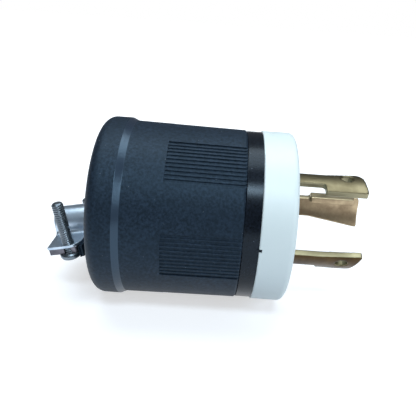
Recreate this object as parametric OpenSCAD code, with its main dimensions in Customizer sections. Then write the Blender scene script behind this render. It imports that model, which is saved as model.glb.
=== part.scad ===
// Locking power plug: three curved blades in a white nose cap, a glossy contact carrier,
// a black rear housing with ribbed grip patches, and a steel cord clamp behind it.
// Origin at the centre of the mating face. +X runs out along the blades, +Z is the side
// towards which the clamp screws point. Angles around the axis are turns about X from +Z.

/* [Body] */
// Diameter of the rear flange
flange_d = 54; // [50:0.5:60]
// Length of the rear flange, without its chamfer
flange_len = 7.7; // [6:0.1:12]
// Diameter of the housing just in front of the flange chamfer
body_d = 52.4; // [48:0.1:53]
// Diameter of the housing at its front edge
body_front_d = 51.2; // [48:0.1:52.4]
// Length of the rear housing
housing_len = 42.1; // [38:0.1:50]
// Radius of the rear edge
rear_round = 3.3; // [1:0.1:5]
// Wall of the rear housing at its open front
housing_wall = 2.9; // [2:0.1:4]
// Diameter of the cord hole
cord_hole_d = 19; // [12:0.5:22]

/* [Grip] */
// Number of ribbed patches
grip_count = 6; // [3:1:8]
// Angle that one patch covers
grip_span = 30; // [20:1:40]
// Length of a patch, up to the front edge
grip_len = 22.2; // [10:0.1:26]
// Ribs in one patch
grip_ribs = 10; // [4:1:12]
// Depth of a patch below the surface
grip_depth = 0.4; // [0.2:0.05:0.6]
// Turn of the first patch
grip_turn = 36; // [0:1:60]

/* [Front] */
// Diameter of the white nose cap
cap_d = 51.4; // [46:0.1:52]
// Length of the nose cap
cap_len = 9.6; // [8:0.1:14]
// Radius of the front edge of the cap
cap_round = 1.7; // [0.5:0.1:3]
// Thickness of the cap behind its mating face
face_thick = 5.6; // [4:0.1:7]
// Diameter of the glossy band between housing and cap
band_d = 50.7; // [46:0.1:51]
// Length of the band
band_len = 4.5; // [3:0.1:8]
// Length of the carrier behind the band
barrel_len = 19.9; // [16:0.1:22]

/* [Blades] */
// Outer radius of the curved blades
blade_r = 14.8; // [13:0.1:16]
// Thickness of the blades
blade_thick = 2.1; // [1.5:0.1:2.5]
// Reach of the upper line blade
upper_reach = 21.8; // [18:0.1:24]
// Reach of the lower line blade
lower_reach = 21.8; // [18:0.1:24]
// Reach of the ground blade
ground_reach = 25.8; // [20:0.1:28]
// Distance from the face to the step of the locking notch
notch_reach = 9.6; // [7:0.1:12]
// Diameter of the holes near the tips of the line blades
blade_hole_d = 3.6; // [2:0.1:5]
// Distance from the face to those holes
blade_hole_x = 16.3; // [12:0.1:18]
// Depth of the lip folded inwards on the ground blade
lip_depth = 3.6; // [2:0.1:5]

/* [Cord clamp] */
// Lean of the clamp screws towards the rear
clamp_tilt = 11.5; // [0:0.5:15]
// Distance from the rear wall to the clamp screws
clamp_back = 8.5; // [7:0.1:10]
// Depth of the saddle's ears below the axis
clamp_drop = 8.4; // [7:0.1:10]
// Distance of each clamp screw from the middle
screw_side = 12; // [11:0.1:13]
// Thickness of the saddle strap
strap_thick = 0.8; // [0.6:0.1:1.6]
// Height of the saddle's arch above its ears
arch_rise = 6.9; // [6:0.1:9]
// Outer radius of the arch
arch_r = 5; // [4.5:0.1:6]
// Thickness of the steel plate under the saddle
plate_thick = 2; // [1:0.1:2.5]
// Length of the near clamp screw above the ear
near_screw_out = 13; // [4:0.5:14]
// Length of the far clamp screw above the ear
far_screw_out = 4.3; // [4:0.1:14]

/* [Fasteners] */
// Thread diameter of the clamp screws
clamp_screw_d = 3.4; // [3:0.1:4]
// Thread diameter of the assembly screws
long_screw_d = 3.4; // [3:0.1:4]
// Distance of the assembly screws from the axis
long_screw_r = 18.9; // [18.5:0.1:19.2]
// Thread diameter of the terminal screws
terminal_screw_d = 3.4; // [3:0.1:4]

/* [Hidden] */

// Stations along the axis, from the mating face back
band_front = -cap_len;
band_back = band_front - band_len;
barrel_back = band_back - barrel_len;
rear = band_back - housing_len;
flange_front = rear + flange_len;
chamfer_front = flange_front + 1.8;
rear_wall = 4.4;

// Radii
flange_r = flange_d / 2;
body_r = body_d / 2;
body_front_r = body_front_d / 2;
cap_r = cap_d / 2;
band_r = band_d / 2;
socket_r = body_front_r - housing_wall;
barrel_r = socket_r - 0.2;
cap_socket_r = cap_r - 2.6;
blade_in_r = blade_r - blade_thick;

// Blades: turn of the middle, then the edges as turns from it:
// hook edge, neck edge, far edge at the face, far edge near the tip
BLADES = [
    [13, 20, 8.8, -11, -18],
    [130, 17.5, 8, -17.3, -20.5],
    [-98, 20.4, 15.2, -13.4, -23.5],
];
HOLE_TURNS = [-5.5, -5];
pocket_front = band_back - 2;
tail_back = barrel_back + 3.5;
terminal_x = barrel_back + 8.5;
pocket_floor_r = 9.8;
pocket_w = 10;
core_r = 3.2;

// Assembly screws sit in the three gaps between the blades
LONG_SCREW_TURNS = [71.5, -164, -43];
head_sink = 3.2;
long_screw_len = 38;
insert_len = 9;
insert_r = 2.9;
boss_r = 4.4;

// Clamp, in its own tilted frame: x to the front, y across, z along the screws
plate_under = strap_thick + plate_thick;
ear_y = 14;
strap_rear = -5.75;
strap_front = 4;
strap_corner = 4;
plate_rear = strap_rear + 0.15;
plate_front = 3.1;
plate_corner = 1.6;
bracket_corner = 2.2;
bracket_thick = 3.6;
key_turn = 87.5;
key_w = 0.7;

// ---- shared shapes --------------------------------------------------------------

// Puts a shape drawn along Z onto the X axis
module along_x() {
    rotate([0, 90, 0]) children();
}

// Turns a profile around the X axis: its own x is the radius, its y the station on X
module turned(smooth = 120) {
    along_x() rotate_extrude($fn = smooth) children();
}

// Ring along X
module ring(outer, inner, from, to) {
    turned() translate([inner, from]) square([outer - inner, to - from]);
}

// Places something built around +Z at a turn about the X axis
module at_turn(turn) {
    rotate([turn, 0, 0]) children();
}

// Takes an outside corner off a profile, leaving a round edge of radius r
// sx and sy say on which side of the corner point the material lies
module round_off(corner, r, sx, sy) {
    translate(corner + [sx * r, sy * r]) difference() {
        translate([sx > 0 ? -2 * r : 0, sy > 0 ? -2 * r : 0]) square(2 * r);
        circle(r, $fn = 48);
    }
}

// Pan head with a cross slot, seat at z = 0, head below it, thread above it
module screw(d, length, head_r, head_h, tip) {
    difference() {
        rotate_extrude($fn = 48) difference() {
            union() {
                translate([0, -head_h]) square([head_r, head_h]);
                translate([0, -0.01]) square([d / 2, length + 0.01 - tip]);
                polygon([[0, length - tip], [d / 2, length - tip], [d / 2 - tip, length], [0, length]]);
            }
            round_off([head_r, -head_h], head_h * 0.6, -1, 1);
        }
        for (turn = [0, 90]) rotate([0, 0, turn]) {
            translate([-head_r * 0.55, -0.4, -head_h - 1]) cube([head_r * 1.1, 0.8, 1 + head_h * 0.55]);
        }
    }
}

// ---- rear housing ---------------------------------------------------------------

module housing_profile() {
    difference() {
        polygon([
            [0, rear], [flange_r, rear], [flange_r, flange_front], [body_r, chamfer_front],
            [body_front_r, band_back - 0.5], [body_front_r - 0.4, band_back], [0, band_back],
        ]);
        round_off([flange_r, rear], rear_round, -1, 1);
    }
}

// Room inside: the straight socket for the carrier, then the wire space behind it
module housing_room() {
    turned() polygon([
        [0, rear + rear_wall], [19, rear + rear_wall], [22, rear + rear_wall + 5],
        [22, barrel_back - 2], [socket_r, barrel_back], [socket_r, band_back + 1],
        [0, band_back + 1],
    ]);
}

// Cutter for one ribbed patch, built around +Z and leaning with the taper of the body
module grip_cutter() {
    taper = atan((body_r - body_front_r) / (band_back - chamfer_front));
    r_mid = body_front_r + grip_len / 2 * tan(taper);
    half = grip_span / 2;
    pitch = (grip_span - 2.4) / grip_ribs;
    rib_base = 0.45;
    rib_top = 0.2;
    translate([band_back - grip_len / 2, 0, 0]) rotate([0, taper, 0])
    translate([-grip_len / 2, 0, 0]) rotate([90, 0, 90]) linear_extrude(grip_len + 3) difference() {
        intersection() {
            difference() {
                circle(r_mid + 3, $fn = 120);
                circle(r_mid - grip_depth, $fn = 120);
            }
            polygon([[0, 0], for (s = [-1, 1]) (r_mid + 9) * [s * sin(half), cos(half)]]);
        }
        for (i = [0 : grip_ribs - 1]) rotate((i - (grip_ribs - 1) / 2) * pitch)
            translate([0, r_mid - grip_depth - 0.3])
            polygon([[-rib_base, 0], [rib_base, 0], [rib_top, grip_depth + 0.25], [-rib_top, grip_depth + 0.25]]);
    }
}

// Posts that take the assembly screws
module housing_posts() {
    for (turn = LONG_SCREW_TURNS) at_turn(turn) translate([rear + 2, 0, long_screw_r])
        along_x() cylinder(r = boss_r, h = barrel_back - rear - 2, $fn = 48);
}

// Bracket under the cord hole that carries the clamp: wings under the ears that run out of
// the rear wall in a sweep, and a tongue between the two screws
module clamp_bracket() {
    tongue = 7.4;
    root = 9.4;
    sweep_r = 3.6;
    end = 10;
    head_room = 7;
    in_clamp_frame() difference() {
        translate([0, 0, -strap_thick - bracket_thick]) linear_extrude(bracket_thick) {
            ear_plan(0.6, strap_front + 0.2, ear_y - 0.2, bracket_corner);
            translate([strap_rear + 1.6, -tongue]) square([end, 2 * tongue]);
            translate([strap_front - 1, -root]) square([end - strap_front, 2 * root]);
            for (s = [-1, 1]) difference() {
                translate([strap_front, s * (root + sweep_r / 2)]) square(sweep_r, center = true);
                translate([strap_front + 0.2 + sweep_r, s * (root + sweep_r)]) circle(sweep_r, $fn = 64);
            }
        }
        // seat of the steel plate, and room for the screw heads
        translate([strap_rear - 1, -20, -plate_under]) cube([plate_front - strap_rear + 1.05, 40, 9]);
        for (s = [-1, 1]) translate([0, s * screw_side, -9]) cylinder(d = head_room, h = 18, $fn = 48);
    }
}

module rear_housing() {
    color("#1b1d22") difference() {
        union() {
            difference() {
                turned() housing_profile();
                housing_room();
            }
            intersection() {
                housing_posts();
                turned() housing_profile();
            }
            difference() {
                clamp_bracket();
                translate([rear + 1, -30, -30]) cube(60);
            }
        }
        translate([rear - 1, 0, 0]) along_x() cylinder(d = cord_hole_d, h = rear_wall + 2, $fn = 96);
        for (turn = LONG_SCREW_TURNS) at_turn(turn) translate([0, 0, long_screw_r]) {
            translate([barrel_back - insert_len, 0, 0]) along_x() cylinder(r = insert_r, h = 20, $fn = 48);
            translate([barrel_back - 14, 0, 0]) along_x() cylinder(d = long_screw_d + 0.4, h = 9, $fn = 48);
        }
        for (i = [0 : grip_count - 1]) at_turn(grip_turn + i * 360 / grip_count) grip_cutter();
    }
}

// ---- contact carrier --------------------------------------------------------------

// Arc slot along X that a blade neck passes through
module blade_slot(k, from, to, play) {
    b = BLADES[k];
    intersection() {
        ring(blade_r + play, blade_in_r - play, from, to);
        at_turn(b[0]) neck_block(b, from, to, play);
    }
}

// Straight-sided block that bounds the neck of a blade
module neck_block(b, from, to, play) {
    y_far = -blade_r * sin(b[3]) + play;
    y_neck = -blade_r * sin(b[2]) - play;
    translate([from - 1, y_neck, 5]) cube([to - from + 2, y_far - y_neck, 14]);
}

// Pocket for one terminal, open outwards and to the rear
module terminal_pocket(k) {
    at_turn(pocket_turn(k)) {
        translate([barrel_back - 1, -pocket_w / 2, pocket_floor_r])
            cube([pocket_front - barrel_back + 1, pocket_w, 20]);
    }
}

function pocket_turn(k) = BLADES[k][0] + (BLADES[k][2] + BLADES[k][3]) / 2;

module contact_carrier() {
    color("#0d0e11") difference() {
        union() {
            turned() difference() {
                translate([0, band_back]) square([band_r, band_len]);
                round_off([band_r, band_back], 0.3, -1, 1);
            }
            turned() translate([0, barrel_back]) square([barrel_r, barrel_len + 1]);
            turned() translate([0, band_front - 1]) square([cap_socket_r - 0.15, 1 + cap_len - face_thick]);
            // key that locates the cap
            at_turn(key_turn) translate([band_front - 0.6, -key_w / 2, band_r - 2.5]) cube([1.3, key_w, 2.75]);
        }
        turned() polygon([
            [0, barrel_back - 1], [core_r, barrel_back - 1], [core_r, band_back - 2], [0, band_back],
        ]);
        for (k = [0 : 2]) {
            terminal_pocket(k);
            blade_slot(k, pocket_front - 1, 1, 0.08);
        }
        for (turn = LONG_SCREW_TURNS) at_turn(turn) translate([barrel_back - 1, 0, long_screw_r])
            along_x() cylinder(d = long_screw_d + 0.4, h = 40, $fn = 48);
    }
}

// ---- nose cap -----------------------------------------------------------------------

module front_cap() {
    color("#eef0f2") difference() {
        turned() difference() {
            translate([0, band_front]) square([cap_r, cap_len]);
            translate([0, band_front - 1]) square([cap_socket_r, 1 + cap_len - face_thick]);
            round_off([cap_r, 0], cap_round, -1, -1);
            round_off([cap_r, band_front], 0.3, -1, 1);
        }
        for (k = [0 : 2]) blade_slot(k, -face_thick - 1, 1, 0.15);
        for (turn = LONG_SCREW_TURNS) at_turn(turn) translate([0, 0, long_screw_r]) {
            translate([-face_thick - 1, 0, 0]) along_x() cylinder(d = long_screw_d + 0.4, h = 9, $fn = 48);
            translate([-head_sink, 0, 0]) along_x() cylinder(d = 7.2, h = 9, $fn = 48);
        }
        at_turn(key_turn) translate([band_front - 1, -key_w / 2 - 0.1, band_r - 2.65])
            cube([1.8, key_w + 0.2, 9]);
    }
}

// ---- blades ---------------------------------------------------------------------------

// Cuts through the curved sheet along the radius
module through_sheet() {
    translate([0, 0, 5]) linear_extrude(14) children();
}

// Plan of a blade as seen along the radius through its middle: x along the plug, y across it,
// hooked side towards -y. The tail keeps its width here; in front of it the sides are cut later.
// The tip is square, or slants back towards its "far" or its "hook" side.
module blade_plan(b, reach, nose) {
    y_hook = -blade_r * sin(b[1]);
    y_neck = -blade_r * sin(b[2]);
    y_far = -blade_r * sin(b[3]);
    y_flare = -blade_r * sin(b[4]);
    shoulder = 1;
    wide = 8;
    step = pocket_front + 0.5;
    difference() {
        polygon([
            [tail_back, y_neck - shoulder], [step, y_neck - shoulder], [step, -wide],
            [reach, -wide], [reach, wide], [step, wide],
            [step, y_far + shoulder], [tail_back, y_far + shoulder],
        ]);
        if (nose == "square") {
            round_off([reach, y_hook], 2.2, -1, 1);
            round_off([reach, y_flare], 1.3, -1, -1);
        }
        if (nose == "far") {
            round_off([reach, y_hook], 1, -1, 1);
            slant([reach, y_hook], y_flare, 0.7, 3.6);
        }
        if (nose == "hook") {
            round_off([reach, y_flare], 1, -1, -1);
            slant([reach, y_flare], y_hook, 2.4, 2.4);
        }
    }
}

// The sides of a blade are cut square to the sheet, so each is drawn at its own edge's turn.
// Hooked side: the neck, the locking notch with its eased inner corner, then the hook
module hook_side(b, reach) {
    y_hook = -blade_r * sin((b[1] - b[2]) / 2);
    ease = 0.8;
    mid = ease * (1 - sqrt(0.5));
    polygon([
        [pocket_front, -y_hook], [notch_reach - ease, -y_hook],
        [notch_reach - mid, -y_hook - mid], [notch_reach, -y_hook - ease],
        [notch_reach, y_hook], [reach + 1, y_hook], [reach + 1, -9], [pocket_front, -9],
    ]);
}

// Far side: straight along the neck, then flared outwards to the tip
module far_side(b, reach) {
    y_flare = -blade_r * sin((b[4] - b[3]) / 2);
    polygon([
        [pocket_front, -y_flare], [notch_reach, -y_flare], [reach, y_flare],
        [reach + 1, y_flare], [reach + 1, 9], [pocket_front, 9],
    ]);
}

// Cutter that slants a tip from its long corner back to the side y_short, where the edge
// falls by drop and ends in a round of radius r
module slant(long, y_short, drop, r) {
    w = abs(long[1] - y_short);
    side = sign(long[1] - y_short);
    run = norm([drop, w]);
    corner = [long[0] - drop, y_short];
    centre = [corner[0] + r * (drop - run) / w, y_short + side * r];
    away = [w, -side * drop] / run;
    out = [0, -side];
    polygon([long - 0.01 * out, long + [1, 0], corner + [drop + 1, 0] + out, corner + out, corner]);
    difference() {
        polygon([centre, centre + (r + 1) * away, corner + away + out, centre - (r + 1) * [0, side]]);
        translate(centre) circle(r, $fn = 64);
    }
}

module blade(k, reach, nose, holed) {
    b = BLADES[k];
    difference() {
        intersection() {
            ring(blade_r, blade_in_r, tail_back - 1, reach + 1);
            at_turn(b[0]) through_sheet() blade_plan(b, reach, nose);
        }
        at_turn(b[0] + (b[1] + b[2]) / 2) through_sheet() hook_side(b, reach);
        at_turn(b[0] + (b[3] + b[4]) / 2) through_sheet() far_side(b, reach);
        if (holed) at_turn(b[0] + HOLE_TURNS[k]) translate([blade_hole_x, 0, 5])
            cylinder(d = blade_hole_d, h = 14, $fn = 48);
        at_turn(pocket_turn(k)) translate([terminal_x, 0, 5])
            cylinder(d = terminal_screw_d + 0.1, h = 14, $fn = 48);
    }
}

module line_blade_upper() {
    color("#cdb989") blade(0, upper_reach, "far", true);
}

module line_blade_lower() {
    color("#cdb989") blade(1, lower_reach, "hook", true);
}

// The ground blade is longer and folds inwards along its hooked side
module ground_blade() {
    b = BLADES[2];
    inward = lip_depth - blade_thick;
    color("#cdb989") union() {
        blade(2, ground_reach, "square", false);
        at_turn(b[0] + (b[1] + b[2]) / 2)
            translate([notch_reach, -blade_r * sin((b[1] - b[2]) / 2), blade_in_r - inward])
            cube([ground_reach - notch_reach - 2.2, blade_thick, inward + 0.5]);
    }
}

// ---- terminals --------------------------------------------------------------------------

plate_top_r = blade_r + 1.6;

// Clamping plate with a hollow underside that sits on the blade's tail
module pressure_plate(k) {
    side = 8.4;
    color("#c9cbd0") at_turn(pocket_turn(k)) difference() {
        translate([terminal_x - side / 2, -side / 2, blade_in_r]) cube([side, side, plate_top_r - blade_in_r]);
        translate([terminal_x - side, 0, 0]) along_x() cylinder(r = blade_r, h = 2 * side, $fn = 120);
        translate([terminal_x, 0, 0]) cylinder(d = terminal_screw_d + 0.4, h = 30, $fn = 48);
    }
}

module terminal_screw(k) {
    color("#b9bdc4") at_turn(pocket_turn(k)) translate([terminal_x, 0, plate_top_r])
        rotate([180, 0, 0]) screw(terminal_screw_d, 5.6, 3.3, 2.2, 0.4);
}

// ---- assembly screws and inserts ------------------------------------------------------------

module assembly_screw(k) {
    color("#b9bdc4") at_turn(LONG_SCREW_TURNS[k]) translate([-head_sink, 0, long_screw_r])
        rotate([0, -90, 0]) screw(long_screw_d, long_screw_len, 3.2, 2.2, 0.5);
}

module threaded_insert(k) {
    color("#c9a452") at_turn(LONG_SCREW_TURNS[k]) translate([barrel_back - insert_len, 0, long_screw_r])
        along_x() difference() {
            union() {
                cylinder(r = insert_r, h = 3.6, $fn = 48);
                cylinder(r = insert_r - 0.4, h = insert_len, $fn = 48);
                translate([0, 0, 5.4]) cylinder(r = insert_r, h = 3.6, $fn = 48);
            }
            translate([0, 0, -1]) cylinder(d = long_screw_d + 0.1, h = insert_len + 2, $fn = 48);
        }
}

// ---- cord clamp -----------------------------------------------------------------------------

module in_clamp_frame() {
    translate([rear - clamp_back, 0, -clamp_drop]) rotate([0, -clamp_tilt, 0]) children();
}

// Plan of the strap from above: square rear corners, rounded front corners
module ear_plan(from, to, half, corner) {
    difference() {
        translate([from, -half]) square([to - from, 2 * half]);
        for (s = [-1, 1]) round_off([to, s * half], corner, -1, -s);
    }
}

// Section of the saddle across the plug: two ears and the arch between them
module saddle_section() {
    arch_z = arch_rise - arch_r;
    fillet = 1.2;
    foot = arch_r + fillet;
    difference() {
        union() {
            intersection() {
                translate([0, arch_z]) circle(arch_r, $fn = 96);
                translate([-arch_r - 1, 0]) square(2 * arch_r + 2);
            }
            translate([-arch_r, -strap_thick]) square([2 * arch_r, strap_thick + arch_z]);
            translate([-ear_y, -strap_thick]) square([2 * ear_y, strap_thick]);
            for (s = [-1, 1]) translate([s > 0 ? 0 : -foot, -0.1]) square([foot, fillet + 0.1]);
        }
        for (s = [-1, 1]) translate([s * foot, fillet]) circle(fillet, $fn = 48);
        translate([0, arch_z]) circle(arch_r - strap_thick, $fn = 96);
        translate([-(arch_r - strap_thick), -9]) square([2 * (arch_r - strap_thick), 9 + arch_z]);
    }
}

module cord_saddle() {
    color("#b7c6d8") in_clamp_frame() difference() {
        intersection() {
            translate([-20, 0, 0]) rotate([90, 0, 90]) linear_extrude(40) saddle_section();
            translate([0, 0, -5]) linear_extrude(20) ear_plan(strap_rear, strap_front, ear_y, strap_corner);
        }
        for (s = [-1, 1]) translate([0, s * screw_side, -5])
            cylinder(d = clamp_screw_d + 0.1, h = 10, $fn = 48);
    }
}

module clamp_plate() {
    color("#7d828c") in_clamp_frame() difference() {
        translate([0, 0, -plate_under]) linear_extrude(plate_thick)
            ear_plan(plate_rear, plate_front, ear_y - 0.4, plate_corner);
        for (s = [-1, 1]) translate([0, s * screw_side, -9])
            cylinder(d = clamp_screw_d + 0.4, h = 18, $fn = 48);
    }
}

// Pan-head screw through plate and ear; out is how far its end stands above the ear
module clamp_screw(side, out) {
    full = near_screw_out + plate_under;
    color("#9fb2c4") in_clamp_frame() translate([0, side * screw_side, out - full])
        screw(clamp_screw_d, full, 3.1, 2, 0.5);
}

rear_housing();
contact_carrier();
front_cap();
line_blade_upper();
line_blade_lower();
ground_blade();
terminal_screw(0);  // terminal_screw_1
terminal_screw(1);  // terminal_screw_2
terminal_screw(2);  // terminal_screw_3
pressure_plate(0);  // pressure_plate_1
pressure_plate(1);  // pressure_plate_2
pressure_plate(2);  // pressure_plate_3
assembly_screw(0);  // assembly_screw_1
assembly_screw(1);  // assembly_screw_2
assembly_screw(2);  // assembly_screw_3
threaded_insert(0);  // threaded_insert_1
threaded_insert(1);  // threaded_insert_2
threaded_insert(2);  // threaded_insert_3
cord_saddle();
clamp_plate();
clamp_screw(-1, near_screw_out);  // clamp_screw_near
clamp_screw(1, far_screw_out);  // clamp_screw_far
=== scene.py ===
import math

import bmesh
import bpy
from mathutils import Matrix, Quaternion, Vector


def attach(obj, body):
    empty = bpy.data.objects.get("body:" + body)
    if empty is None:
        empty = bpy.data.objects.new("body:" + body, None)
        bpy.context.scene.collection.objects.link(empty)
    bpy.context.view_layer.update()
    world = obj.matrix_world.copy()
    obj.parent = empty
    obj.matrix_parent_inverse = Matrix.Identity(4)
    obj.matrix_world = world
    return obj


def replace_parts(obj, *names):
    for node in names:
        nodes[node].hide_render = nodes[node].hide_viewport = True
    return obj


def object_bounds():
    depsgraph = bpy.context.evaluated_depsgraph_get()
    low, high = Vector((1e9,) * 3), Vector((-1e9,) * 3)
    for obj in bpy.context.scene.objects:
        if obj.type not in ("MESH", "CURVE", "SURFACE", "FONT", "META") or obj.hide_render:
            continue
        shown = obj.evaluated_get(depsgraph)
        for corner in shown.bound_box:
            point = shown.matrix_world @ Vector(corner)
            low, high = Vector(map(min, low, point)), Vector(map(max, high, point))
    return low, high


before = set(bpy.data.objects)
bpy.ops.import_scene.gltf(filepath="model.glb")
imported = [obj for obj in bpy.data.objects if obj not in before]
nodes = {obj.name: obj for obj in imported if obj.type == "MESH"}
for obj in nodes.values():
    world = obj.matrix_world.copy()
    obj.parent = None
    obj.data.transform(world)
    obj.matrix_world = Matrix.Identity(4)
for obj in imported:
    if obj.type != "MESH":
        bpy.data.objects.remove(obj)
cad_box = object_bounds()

MM = 0.001

# ---- Rear housing -------------------------------------------------------------------
# The black shell behind the band: glass-filled nylon, moulded in a spark-eroded tool, which
# leaves an even fine grain. Three long screws from the nose cap pull it over the carrier.


def add_node(tree, kind, settings=None, **inputs):
    """A shader node with its settings and the values of its named inputs; _ stands for a space."""
    node = tree.nodes.new("ShaderNode" + kind)
    for name, value in (settings or {}).items():
        setattr(node, name, value)
    for name, value in inputs.items():
        node.inputs[name.replace("_", " ")].default_value = value
    return node


def finish_group(name, inputs, outputs):
    """An empty shader node group with its named sockets, and its input and output nodes."""
    tree = bpy.data.node_groups.new(name, "ShaderNodeTree")
    for label, value in inputs.items():
        kind = "NodeSocketFloat" if isinstance(value, float) else "NodeSocketColor"
        tree.interface.new_socket(label, in_out="INPUT", socket_type=kind).default_value = value
    for label, kind in outputs.items():
        tree.interface.new_socket(label, in_out="OUTPUT", socket_type="NodeSocket" + kind)
    return tree, tree.nodes.new("NodeGroupInput"), tree.nodes.new("NodeGroupOutput")


def make_spark_grain():
    """Tool texture of moulded plastic: small rounded pits of uneven size.
    Height goes to a bump, Tone is a slow cloudiness, Fleck is the mottle of the pits, and Speck
    marks rare dust grains."""
    tree, given, made = finish_group(
        "spark grain",
        {"Pitch": 0.35, "Dust": 0.02},
        {"Height": "Float", "Tone": "Float", "Fleck": "Float", "Speck": "Float"},
    )
    link = tree.links.new
    place = add_node(tree, "TexCoord")
    per_metre = add_node(tree, "Math", {"operation": "DIVIDE"})
    per_metre.inputs[0].default_value = 1 / MM
    link(given.outputs["Pitch"], per_metre.inputs[1])
    pits = add_node(tree, "TexVoronoi", {"feature": "SMOOTH_F1"}, Smoothness=0.6, Randomness=1.0)
    link(place.outputs["Object"], pits.inputs["Vector"])
    link(per_metre.outputs[0], pits.inputs["Scale"])
    fine = add_node(tree, "TexNoise", None, Detail=3.0, Roughness=0.6)
    link(place.outputs["Object"], fine.inputs["Vector"])
    link(per_metre.outputs[0], fine.inputs["Scale"])
    height = add_node(tree, "Math", {"operation": "MULTIPLY_ADD"})
    height.inputs[1].default_value = 0.6
    link(pits.outputs["Distance"], height.inputs[0])
    link(fine.outputs["Fac"], height.inputs[2])
    link(height.outputs[0], made.inputs["Height"])
    fleck = add_node(tree, "MapRange", None, From_Min=0.36, From_Max=0.68)
    link(fine.outputs["Fac"], fleck.inputs["Value"])
    link(fleck.outputs["Result"], made.inputs["Fleck"])
    cloud = add_node(tree, "TexNoise", None, Scale=140.0, Detail=5.0, Roughness=0.62)
    link(place.outputs["Object"], cloud.inputs["Vector"])
    link(cloud.outputs["Fac"], made.inputs["Tone"])
    dust = add_node(tree, "TexVoronoi", {"feature": "F1"}, Scale=420.0, Randomness=1.0)
    link(place.outputs["Object"], dust.inputs["Vector"])
    speck = add_node(tree, "Math", {"operation": "LESS_THAN"})
    link(dust.outputs["Distance"], speck.inputs[0])
    link(given.outputs["Dust"], speck.inputs[1])
    link(speck.outputs[0], made.inputs["Speck"])
    return tree


def make_edge_wear_and_rim_shade():
    """Rounded, slightly polished edges; on the cap the same Edge mask carries painted rim shade. Normal carries the
    small round of every edge, and Edge is 1 where the surface turns within Radius."""
    tree, given, made = finish_group(
        "edge wear and rim shade", {"Radius": 0.2, "Sharpness": 3.0}, {"Normal": "Vector", "Edge": "Float"}
    )
    link = tree.links.new
    metres = add_node(tree, "Math", {"operation": "MULTIPLY"})
    metres.inputs[1].default_value = MM
    link(given.outputs["Radius"], metres.inputs[0])
    rounded = add_node(tree, "Bevel", {"samples": 6})
    link(metres.outputs[0], rounded.inputs["Radius"])
    link(rounded.outputs["Normal"], made.inputs["Normal"])
    face = add_node(tree, "NewGeometry")
    turn = add_node(tree, "VectorMath", {"operation": "DOT_PRODUCT"})
    link(rounded.outputs["Normal"], turn.inputs[0])
    link(face.outputs["Normal"], turn.inputs[1])
    away = add_node(tree, "Math", {"operation": "SUBTRACT"})
    away.inputs[0].default_value = 1.0
    link(turn.outputs["Value"], away.inputs[1])
    edge = add_node(tree, "Math", {"operation": "MULTIPLY", "use_clamp": True})
    link(away.outputs[0], edge.inputs[0])
    link(given.outputs["Sharpness"], edge.inputs[1])
    link(edge.outputs[0], made.inputs["Edge"])
    return tree


spark_grain = make_spark_grain()
edge_wear_and_rim_shade = make_edge_wear_and_rim_shade()


def use_group(tree, group, **inputs):
    """Places a node group with its own values."""
    node = tree.nodes.new("ShaderNodeGroup")
    node.node_tree = group
    for name, value in inputs.items():
        node.inputs[name.replace("_", " ")].default_value = value
    return node


def new_material(name):
    """A material holding only a Principled shader wired to its output."""
    material = bpy.data.materials.new(name)
    material.use_nodes = True
    return material, material.node_tree, material.node_tree.nodes["Principled BSDF"]


def blend(tree, amount, low, high):
    """Colour or number mixed from low to high by a socket from 0 to 1."""
    kind = "FLOAT" if isinstance(high, float) else "RGBA"
    mix = tree.nodes.new("ShaderNodeMix")
    mix.data_type = kind
    spots = {"FLOAT": (2, 3, 0), "RGBA": (6, 7, 2)}[kind]
    for spot, value in zip(spots, (low, high)):
        if isinstance(value, bpy.types.NodeSocket):
            tree.links.new(value, mix.inputs[spot])
        else:
            mix.inputs[spot].default_value = value
    tree.links.new(amount, mix.inputs[0])
    return mix.outputs[spots[2]]


def bump(tree, height, strength, depth, normal):
    """A bump of depth millimetres on top of a normal."""
    node = add_node(tree, "Bump", None, Strength=strength, Distance=depth * MM)
    tree.links.new(height, node.inputs["Height"])
    tree.links.new(normal, node.inputs["Normal"])
    return node.outputs["Normal"]


def black_nylon():
    material, tree, shader = new_material("grained black nylon")
    grain = use_group(tree, spark_grain, Pitch=0.75, Dust=0.035)
    edges = use_group(tree, edge_wear_and_rim_shade, Radius=0.15, Sharpness=4.0)
    pits = blend(tree, grain.outputs["Fleck"], (0.002, 0.004, 0.007, 1), (0.024, 0.040, 0.068, 1))
    body = blend(tree, grain.outputs["Tone"], pits, (0.007, 0.012, 0.020, 1))
    rubbed = blend(tree, edges.outputs["Edge"], body, (0.018, 0.028, 0.044, 1))
    # the chamfer in front of the flange is rubbed smooth where the plug lies in the hand
    place = add_node(tree, "TexCoord")
    along = add_node(tree, "SeparateXYZ")
    chamfer = add_node(tree, "Math", {"operation": "COMPARE"})
    chamfer.inputs[1].default_value = -47.6 * MM
    chamfer.inputs[2].default_value = 0.95 * MM
    tree.links.new(place.outputs["Object"], along.inputs[0])
    tree.links.new(along.outputs["X"], chamfer.inputs[0])
    handled = blend(tree, chamfer.outputs[0], rubbed, (0.014, 0.022, 0.038, 1))
    dusty = blend(tree, grain.outputs["Speck"], handled, (0.20, 0.22, 0.25, 1))
    matte = blend(tree, grain.outputs["Tone"], 0.48, 0.60)
    rough = blend(tree, chamfer.outputs[0], matte, 0.30)
    gloss = blend(tree, chamfer.outputs[0], 0.32, 0.75)
    tree.links.new(dusty, shader.inputs["Base Color"])
    tree.links.new(rough, shader.inputs["Roughness"])
    tree.links.new(gloss, shader.inputs["Specular IOR Level"])
    skin = bump(tree, grain.outputs["Height"], 0.45, 0.06, edges.outputs["Normal"])
    tree.links.new(skin, shader.inputs["Normal"])
    # painted sheen: the blue specular tint colours the housing's reflections with the cool tone of sky light
    shader.inputs["Specular Tint"].default_value = (0.50, 0.76, 1.0, 1)
    return material


def dress(node, material):
    """Gives a carried-over CAD node one material."""
    mesh = nodes[node].data
    mesh.materials.clear()
    mesh.materials.append(material)


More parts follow.
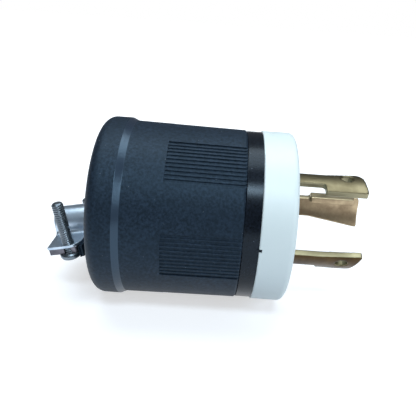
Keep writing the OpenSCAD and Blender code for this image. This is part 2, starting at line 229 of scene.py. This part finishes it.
dress("rear_housing", black_nylon())

# ---- Contact carrier ------------------------------------------------------------------
# The core that holds the contacts; only its band shows between housing and cap. Moulded in a
# polished tool from a harder black resin, so it is glossier than the housing.


def polished_black():
    material, tree, shader = new_material("polished black resin")
    grain = use_group(tree, spark_grain, Pitch=0.55, Dust=0.04)
    edges = use_group(tree, edge_wear_and_rim_shade, Radius=0.12, Sharpness=4.0)
    body = blend(tree, grain.outputs["Fleck"], (0.003, 0.004, 0.006, 1), (0.009, 0.012, 0.019, 1))
    rubbed = blend(tree, edges.outputs["Edge"], body, (0.024, 0.030, 0.042, 1))
    dusty = blend(tree, grain.outputs["Speck"], rubbed, (0.16, 0.19, 0.24, 1))
    rough = blend(tree, grain.outputs["Tone"], 0.18, 0.30)
    tree.links.new(dusty, shader.inputs["Base Color"])
    tree.links.new(rough, shader.inputs["Roughness"])
    skin = bump(tree, grain.outputs["Height"], 0.30, 0.02, edges.outputs["Normal"])
    tree.links.new(skin, shader.inputs["Normal"])
    shader.inputs["Specular IOR Level"].default_value = 0.22
    # painted sheen: the blue specular tint colours the band's reflections with the cool tone of sky light
    shader.inputs["Specular Tint"].default_value = (0.70, 0.86, 1.0, 1)
    return material


dress("contact_carrier", polished_black())

# ---- Nose cap -----------------------------------------------------------------------------
# The white face that the blades come through, moulded in nylon with a satin skin. It sits over
# the carrier's spigot and carries the heads of the long screws.


def white_nylon():
    material, tree, shader = new_material("satin white nylon")
    grain = use_group(tree, spark_grain, Pitch=0.50, Dust=0.03)
    edges = use_group(tree, edge_wear_and_rim_shade, Radius=0.12, Sharpness=3.0)
    body = blend(tree, grain.outputs["Tone"], (0.70, 0.78, 0.78, 1), (0.75, 0.82, 0.82, 1))
    # painted shade: the cap's rounded edges turn cool grey, standing in for the shade along its rim
    rim_painted_shade = blend(tree, edges.outputs["Edge"], body, (0.52, 0.56, 0.63, 1))
    dusty = blend(tree, grain.outputs["Speck"], rim_painted_shade, (0.45, 0.47, 0.46, 1))
    rough = blend(tree, grain.outputs["Tone"], 0.36, 0.50)
    tree.links.new(dusty, shader.inputs["Base Color"])
    tree.links.new(rough, shader.inputs["Roughness"])
    skin = bump(tree, grain.outputs["Height"], 0.15, 0.02, edges.outputs["Normal"])
    tree.links.new(skin, shader.inputs["Normal"])
    shader.inputs["Subsurface Weight"].default_value = 0.08
    shader.inputs["Subsurface Radius"].default_value = (1.0, 1.0, 1.0)
    shader.inputs["Subsurface Scale"].default_value = 0.6 * MM
    return material


dress("front_cap", white_nylon())

# ---- Blades -----------------------------------------------------------------------------------
# Three contact blades rolled and stamped from brass sheet 2 mm thick, curved about the axis.
# Each has a locking notch behind its hooked edge, and its tail is clamped in the carrier.


def make_rolled_metal():
    """Sheet metal: long fine rolling lines along X and slow staining."""
    tree, given, made = finish_group(
        "rolled metal", {"Lines": 2600.0, "Stain Size": 220.0}, {"Height": "Float", "Stain": "Float"}
    )
    link = tree.links.new
    place = add_node(tree, "TexCoord")
    stretch = add_node(tree, "VectorMath", {"operation": "MULTIPLY"})
    stretch.inputs[1].default_value = (0.06, 1.0, 1.0)
    link(place.outputs["Object"], stretch.inputs[0])
    lines = add_node(tree, "TexNoise", None, Detail=4.0, Roughness=0.65)
    link(stretch.outputs[0], lines.inputs["Vector"])
    link(given.outputs["Lines"], lines.inputs["Scale"])
    link(lines.outputs["Fac"], made.inputs["Height"])
    stain = add_node(tree, "TexNoise", None, Detail=6.0, Roughness=0.6)
    link(place.outputs["Object"], stain.inputs["Vector"])
    link(given.outputs["Stain Size"], stain.inputs["Scale"])
    contrast = add_node(tree, "MapRange", None, From_Min=0.35, From_Max=0.65)
    link(stain.outputs["Fac"], contrast.inputs["Value"])
    link(contrast.outputs["Result"], made.inputs["Stain"])
    return tree


def make_sheet_faces():
    """Face is 1 on the rolled faces of a sheet curved about the X axis, and 0 on its cut edges."""
    tree, given, made = finish_group("sheet faces", {"Lowest": 0.55, "Highest": 0.85}, {"Face": "Float"})
    link = tree.links.new
    place = add_node(tree, "TexCoord")
    flat = add_node(tree, "VectorMath", {"operation": "MULTIPLY"})
    flat.inputs[1].default_value = (0.0, 1.0, 1.0)
    link(place.outputs["Object"], flat.inputs[0])
    outward = add_node(tree, "VectorMath", {"operation": "NORMALIZE"})
    link(flat.outputs[0], outward.inputs[0])
    surface = add_node(tree, "NewGeometry")
    along = add_node(tree, "VectorMath", {"operation": "DOT_PRODUCT"})
    link(outward.outputs[0], along.inputs[0])
    link(surface.outputs["Normal"], along.inputs[1])
    size = add_node(tree, "Math", {"operation": "ABSOLUTE"})
    link(along.outputs["Value"], size.inputs[0])
    face = add_node(tree, "MapRange")
    link(size.outputs[0], face.inputs["Value"])
    link(given.outputs["Lowest"], face.inputs["From Min"])
    link(given.outputs["Highest"], face.inputs["From Max"])
    link(face.outputs["Result"], made.inputs["Face"])
    return tree


rolled_metal = make_rolled_metal()
sheet_faces = make_sheet_faces()


def metal(name, clean, stained, edge_colour, smooth, dull, edge_radius=0.25, grain_depth=0.01):
    """A bare metal: clean and stained colours, a lighter worn edge, and a rolled surface."""
    material, tree, shader = new_material(name)
    sheet = use_group(tree, rolled_metal)
    edges = use_group(tree, edge_wear_and_rim_shade, Radius=edge_radius, Sharpness=2.5)
    body = blend(tree, sheet.outputs["Stain"], (*clean, 1), (*stained, 1))
    worn = blend(tree, edges.outputs["Edge"], body, (*edge_colour, 1))
    rough = blend(tree, sheet.outputs["Stain"], smooth, dull)
    tree.links.new(worn, shader.inputs["Base Color"])
    tree.links.new(rough, shader.inputs["Roughness"])
    skin = bump(tree, sheet.outputs["Height"], 0.3, grain_depth, edges.outputs["Normal"])
    tree.links.new(skin, shader.inputs["Normal"])
    shader.inputs["Metallic"].default_value = 1.0
    return material


def blade_brass(name, clean, stained, sheared):
    """Brass sheet whose rolled faces carry tarnish and the light or shade painted for that blade, and whose cut
    edges are still bright.
    """
    material = metal(name, clean, stained, sheared, 0.30, 0.44, edge_radius=0.4)
    tree = material.node_tree
    shader = tree.nodes["Principled BSDF"]
    tarnish_and_painted_light = shader.inputs["Base Color"].links[0].from_socket
    faces = use_group(tree, sheet_faces)
    colour = blend(tree, faces.outputs["Face"], (*sheared, 1), tarnish_and_painted_light)
    tree.links.new(colour, shader.inputs["Base Color"])
    return material


# painted light and shade: the three blades are one brass sheet, coloured three ways for the light that falls on
# each; the lower blade faces down and is painted dark for its shade
dress("line_blade_upper", blade_brass("brass painted to the upper blade light", (0.19, 0.16, 0.095), (0.14, 0.115, 0.065), (0.29, 0.26, 0.165)))
dress("ground_blade", blade_brass("brass painted to the ground blade light", (0.46, 0.35, 0.22), (0.27, 0.195, 0.12), (0.40, 0.33, 0.21)))
dress("line_blade_lower", blade_brass("brass painted with the lower blade shade", (0.085, 0.050, 0.016), (0.05, 0.028, 0.010), (0.29, 0.26, 0.16)))

# stamping and tumbling round every edge of the blades
for blade in ("line_blade_upper", "ground_blade", "line_blade_lower"):
    tumbled = nodes[blade].modifiers.new("even skin", "REMESH")
    tumbled.mode = "VOXEL"
    tumbled.voxel_size = 0.2 * MM
    tumbled.use_smooth_shade = True
    rounded = nodes[blade].modifiers.new("rounded edges", "SMOOTH")
    rounded.factor = 0.5
    rounded.iterations = 8

# ---- Terminals --------------------------------------------------------------------------------
# A screw and a hollow clamping plate hold each wire on the tail of its blade.

terminal_steel = metal("terminal steel", (0.62, 0.64, 0.66), (0.48, 0.49, 0.50), (0.8, 0.81, 0.82), 0.28, 0.40)
for number in (1, 2, 3):
    dress(f"pressure_plate_{number}", terminal_steel)
    dress(f"terminal_screw_{number}", terminal_steel)

# ---- Assembly screws ----------------------------------------------------------------------------
# Three long screws run from the cap through the carrier into brass inserts in the housing.

long_screw_steel = metal("long screw steel", (0.60, 0.63, 0.66), (0.45, 0.47, 0.49), (0.8, 0.82, 0.84), 0.25, 0.38)
insert_brass = metal("insert brass", (0.66, 0.50, 0.22), (0.52, 0.38, 0.16), (0.80, 0.66, 0.34), 0.28, 0.40)
for number in (1, 2, 3):
    dress(f"assembly_screw_{number}", long_screw_steel)
    dress(f"threaded_insert_{number}", insert_brass)

# ---- Cord clamp -----------------------------------------------------------------------------------
# A zinc-plated saddle bridges the cord and is drawn onto a steel plate by two pan-head screws.

zinc = metal("bright zinc plating", (0.60, 0.70, 0.80), (0.45, 0.55, 0.66), (0.72, 0.80, 0.88), 0.32, 0.44)
# painted shade: the clamp plate's steel is coloured dark for the shade that its face lies in
plate_steel_painted_shade = metal("plate steel painted dark for shade", (0.20, 0.19, 0.22), (0.11, 0.11, 0.13), (0.38, 0.37, 0.42), 0.34, 0.48)
screw_zinc = metal("zinc screw steel", (0.24, 0.28, 0.32), (0.16, 0.19, 0.22), (0.40, 0.46, 0.52), 0.26, 0.40)
dress("cord_saddle", zinc)
dress("clamp_plate", plate_steel_painted_shade)


def threaded_screw(name, place):
    """Pan-head screw with a rolled thread and a cross recess, in its own frame: the head's
    seat is at z = 0, the head below it and the thread above."""
    sides = 32
    rows_a_turn = 8
    pitch = 0.66 * MM
    crest_r = 1.7 * MM
    root_r = 1.36 * MM
    length = 15.8 * MM
    point = 0.5 * MM
    head_r = 3.1 * MM
    head_h = 2.0 * MM
    head = [(1.0, 0.50), (0.96, 0.72), (0.80, 0.90), (0.50, 1.0), (0.0, 1.0)]
    rings = [(-low * head_h, [out * head_r] * sides) for low, out in head]
    for row in range(int(length / pitch * rows_a_turn) + 1):
        z = row * pitch / rows_a_turn
        ring = []
        for side in range(sides):
            phase = (z / pitch - side / sides) % 1.0
            ridge = min(1.0, 1.5 * (1.0 - abs(2.0 * phase - 1.0)))
            radius = root_r + ridge * (crest_r - root_r)
            ring.append(min(radius, crest_r - max(0.0, z - length + point)))
        rings.append((z, ring))
    shape = bmesh.new()
    loops = []
    for z, radii in rings:
        loop = []
        for side, radius in enumerate(radii):
            turn = 2 * math.pi * side / sides
            loop.append(shape.verts.new((radius * math.cos(turn), radius * math.sin(turn), z)))
        loops.append(loop)
    for low, high in zip(loops, loops[1:]):
        for side in range(sides):
            after = (side + 1) % sides
            shape.faces.new((low[side], low[after], high[after], high[side]))
    shape.faces.new(list(reversed(loops[0])))
    shape.faces.new(loops[-1])
    for face in shape.faces:
        face.smooth = True
    for edge in shape.edges:
        edge.smooth = edge.calc_face_angle(0.0) < math.radians(50)
    mesh = bpy.data.meshes.new(name)
    shape.to_mesh(mesh)
    shape.free()
    screw = bpy.data.objects.new(name, mesh)
    bpy.context.scene.collection.objects.link(screw)
    recess = bpy.data.meshes.new(name + "_recess")
    shape = bmesh.new()
    for long_x, long_y in ((3.4, 0.8), (0.8, 3.4)):
        block = Matrix.Translation((0, 0, -head_h)) @ Matrix.Diagonal((long_x * MM, long_y * MM, 2.2 * MM, 1))
        bmesh.ops.create_cube(shape, size=1.0, matrix=block)
    shape.to_mesh(recess)
    shape.free()
    cutter = bpy.data.objects.new(name + "_recess", recess)
    bpy.context.scene.collection.objects.link(cutter)
    cut = screw.modifiers.new("cross recess", "BOOLEAN")
    cut.operation = "DIFFERENCE"
    cut.solver = "EXACT"
    cut.use_self = True
    cut.object = cutter
    ready = bpy.context.evaluated_depsgraph_get()
    finished = bpy.data.meshes.new_from_object(screw.evaluated_get(ready))
    screw.modifiers.clear()
    screw.data = finished
    bpy.data.objects.remove(cutter)
    screw.matrix_world = place
    finished.materials.clear()
    finished.materials.append(screw_zinc)
    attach(screw, "root")
    return screw


clamp_frame = Matrix.Translation((-64.7 * MM, 0, -8.4 * MM)) @ Matrix.Rotation(math.radians(-11.5), 4, "Y")
for label, side, out in (("near", -12, 13.0), ("far", 12, 4.3)):
    seat = clamp_frame @ Matrix.Translation((0, side * MM, (out - 15.8) * MM))
    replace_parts(threaded_screw(f"clamp_screw_{label}_threaded", seat), f"clamp_screw_{label}")

# ---- Studio -----------------------------------------------------------------------------------------
# A pale floor under the plug, soft cool daylight from above and behind, and the viewpoint.

plug_middle = (cad_box[0] + cad_box[1]) / 2
floor_size = 3.0
floor_mesh = bpy.data.meshes.new("floor")
shape = bmesh.new()
bmesh.ops.create_grid(shape, x_segments=1, y_segments=1, size=floor_size / 2)
shape.to_mesh(floor_mesh)
shape.free()
floor = bpy.data.objects.new("floor", floor_mesh)
floor.location = (plug_middle.x, plug_middle.y, cad_box[0].z - 0.0001)
bpy.context.scene.collection.objects.link(floor)


def seen_rays(tree):
    """1 for the rays by which the camera, gloss and glass see the background."""
    path = add_node(tree, "LightPath")
    seen = path.outputs["Is Camera Ray"]
    for name in ("Is Glossy Ray", "Is Transmission Ray"):
        either = add_node(tree, "Math", {"operation": "MAXIMUM"})
        tree.links.new(seen, either.inputs[0])
        tree.links.new(path.outputs[name], either.inputs[1])
        seen = either.outputs[0]
    return seen


floor_material, tree, shader = new_material("white paper floor")
tree.nodes.remove(shader)
paper = add_node(tree, "BsdfDiffuse", None, Color=(0.58, 0.60, 0.64, 1))
glow = add_node(tree, "Emission", None, Color=(1, 1, 1, 1))
nothing = add_node(tree, "Emission", None, Color=(0, 0, 0, 1), Strength=0.0)
# the paper near the plug keeps its shadow, and further out it runs into white
place = add_node(tree, "TexCoord")
away = add_node(tree, "VectorMath", {"operation": "LENGTH"})
rise = add_node(tree, "MapRange", None, From_Min=0.04, From_Max=0.30, To_Min=0.60, To_Max=1.0)
tree.links.new(place.outputs["Object"], away.inputs[0])
tree.links.new(away.outputs["Value"], rise.inputs["Value"])
tree.links.new(rise.outputs["Result"], glow.inputs["Strength"])
pick = add_node(tree, "MixShader")
both = add_node(tree, "AddShader")
tree.links.new(seen_rays(tree), pick.inputs[0])
tree.links.new(nothing.outputs[0], pick.inputs[1])
tree.links.new(glow.outputs[0], pick.inputs[2])
tree.links.new(paper.outputs[0], both.inputs[0])
tree.links.new(pick.outputs[0], both.inputs[1])
tree.links.new(both.outputs[0], tree.nodes["Material Output"].inputs["Surface"])
floor_mesh.materials.append(floor_material)

world = bpy.data.worlds.new("studio")
bpy.context.scene.world = world
world.use_nodes = True
tree = world.node_tree
ambient = tree.nodes["Background"]
ambient.inputs["Color"].default_value = (0.86, 0.92, 1.0, 1)
ambient.inputs["Strength"].default_value = 0.13
sky = add_node(tree, "Background", None, Color=(1, 1, 1, 1), Strength=1.0)
pick = add_node(tree, "MixShader")
path = add_node(tree, "LightPath")
tree.links.new(path.outputs["Is Camera Ray"], pick.inputs[0])
tree.links.new(ambient.outputs[0], pick.inputs[1])
tree.links.new(sky.outputs[0], pick.inputs[2])
tree.links.new(pick.outputs[0], tree.nodes["World Output"].inputs["Surface"])


def softbox(name, place, aim, width, height, power, colour):
    """A rectangular soft light at place, turned towards aim."""
    light = bpy.data.lights.new(name, "AREA")
    light.shape = "RECTANGLE"
    light.size = width
    light.size_y = height
    light.energy = power
    light.color = colour
    lamp = bpy.data.objects.new(name, light)
    lamp.location = place
    lamp.rotation_euler = (Vector(aim) - Vector(place)).to_track_quat("-Z", "Y").to_euler()
    bpy.context.scene.collection.objects.link(lamp)


softbox("window", (-0.05, 0.12, 0.58), plug_middle, 0.7, 0.35, 3.3, (0.84, 0.94, 1.0))
softbox("side window", (0.384, -0.322, 0.296), plug_middle, 0.25, 0.25, 1.1, (0.84, 0.93, 1.0))
softbox("front window", (-0.02, -0.33, 0.47), plug_middle, 0.24, 0.09, 1.5, (0.80, 0.92, 1.0))

aim = Vector((-24.1, 0.4, 0.76)) * MM
looking_down = math.radians(24.0)
turned_left = math.radians(0.88)
rolled = math.radians(3.88)
distance = 149.6 * MM
line_of_sight = Vector(
    (
        -math.sin(turned_left) * math.cos(looking_down),
        math.cos(turned_left) * math.cos(looking_down),
        -math.sin(looking_down),
    )
)
lens = bpy.data.cameras.new("camera")
lens.sensor_width = 36.0
lens.lens = 41.52
lens.clip_start = 0.005
camera = bpy.data.objects.new("camera", lens)
camera.rotation_mode = "QUATERNION"
camera.rotation_quaternion = line_of_sight.to_track_quat("-Z", "Y") @ Quaternion((0, 0, 1), rolled)
camera.location = aim - distance * line_of_sight
bpy.context.scene.collection.objects.link(camera)
bpy.context.scene.camera = camera
bpy.context.scene.view_settings.view_transform = "Standard"
